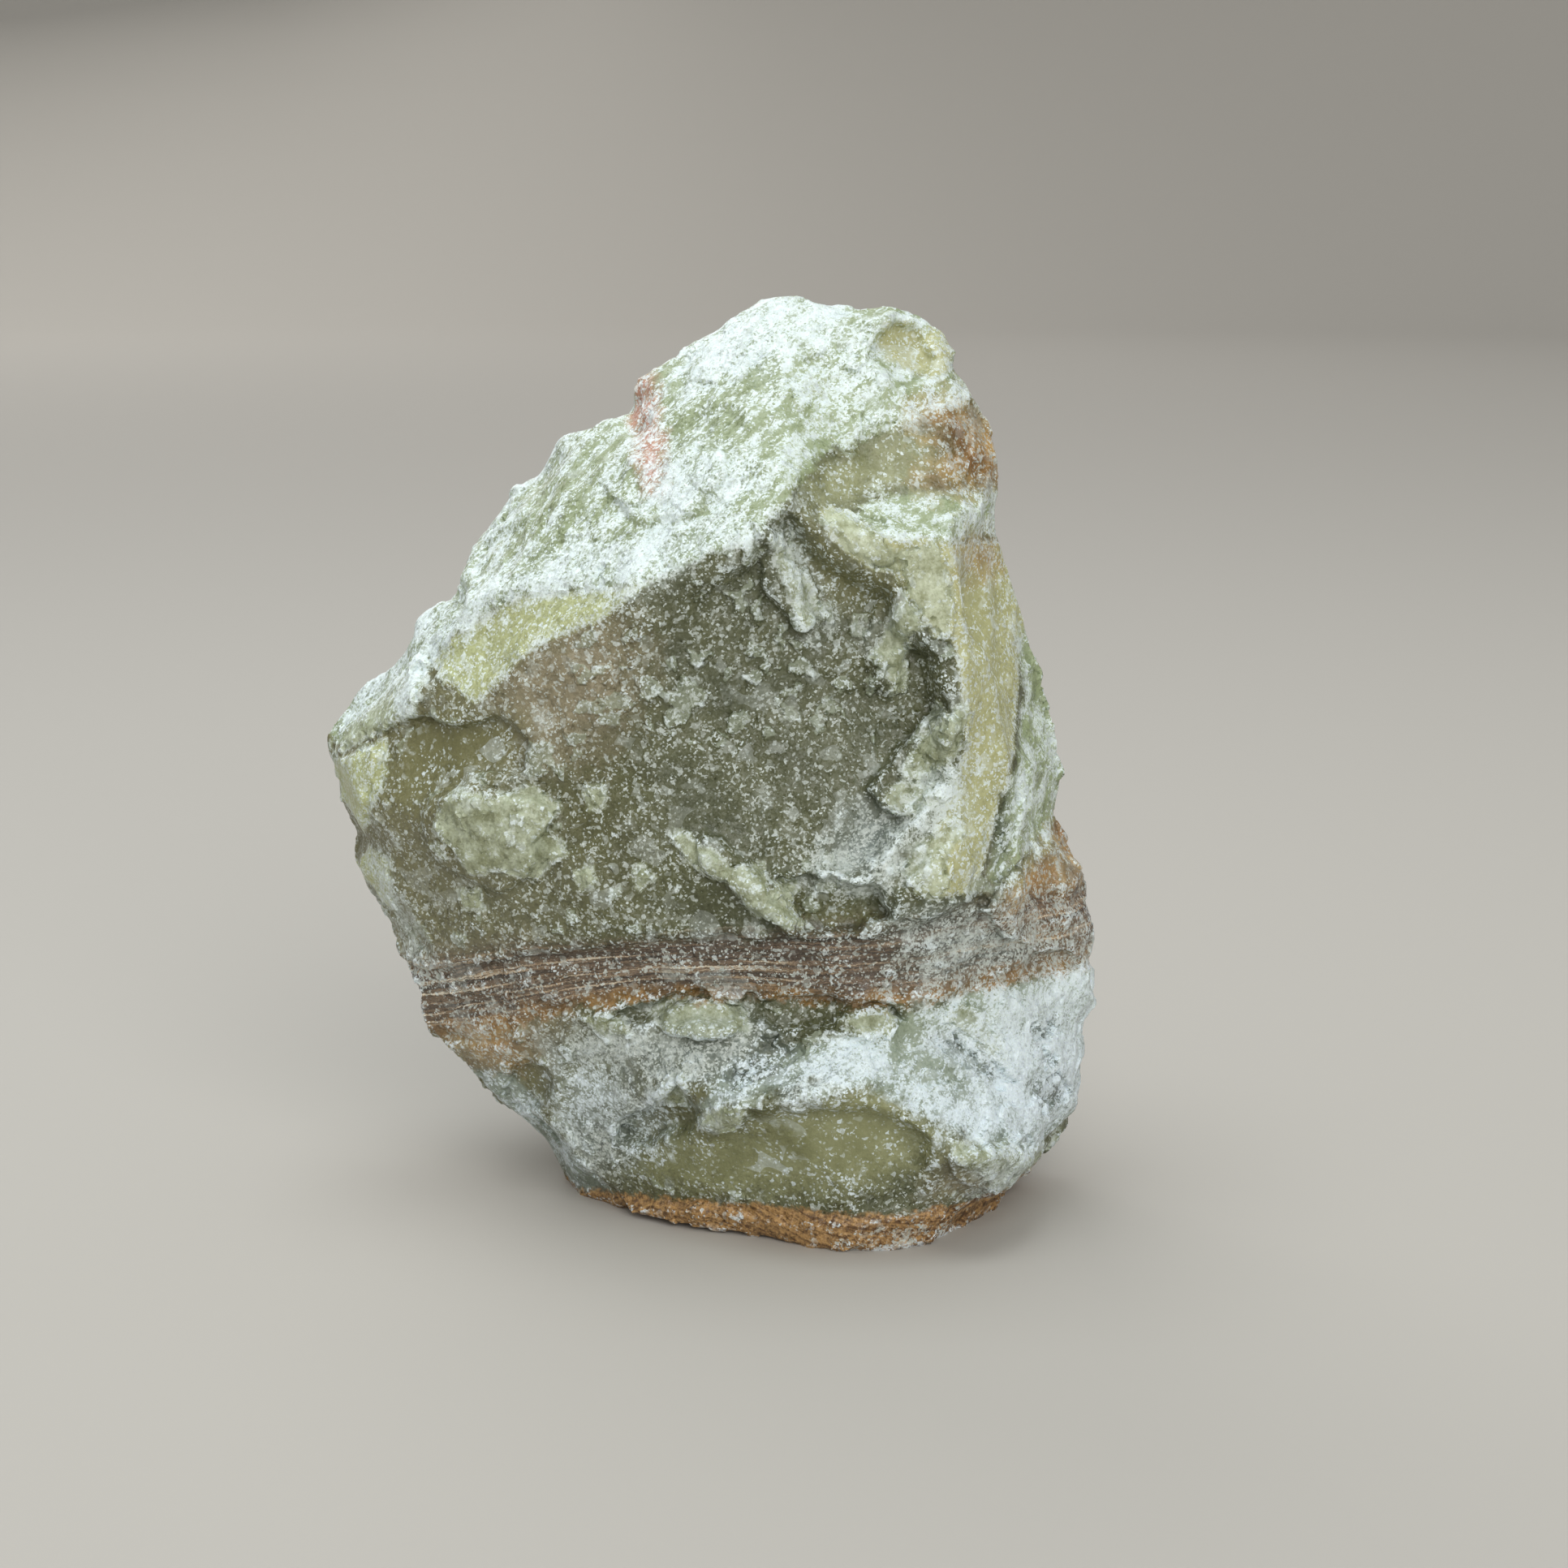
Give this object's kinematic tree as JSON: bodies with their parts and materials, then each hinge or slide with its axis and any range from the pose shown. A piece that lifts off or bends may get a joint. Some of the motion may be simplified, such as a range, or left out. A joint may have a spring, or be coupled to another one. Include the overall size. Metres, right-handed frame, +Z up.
{
  "type": "rough green onyx stone",
  "caption": "Hand-sized rough piece of green banded onyx (calcite) standing on its flat broken base, with a shell-shaped hollow in front and a brown layered band.",
  "frame": {"origin": "middle of the bounding box's underside, in the plane of the flat base", "axes": "+Z up along the stone's height, +X to the viewer's right across its width, -Y to the front, where the shell-shaped hollow is"},
  "size_m": [0.0784, 0.0528, 0.0912],
  "materials": {
    "green_onyx": "rough broken calcite, waxy where it is chipped smooth and frosted where it is crystalline"
  },
  "bodies": {
    "root": {"onyx_stone": "green_onyx"}
  },
  "joints": []
}
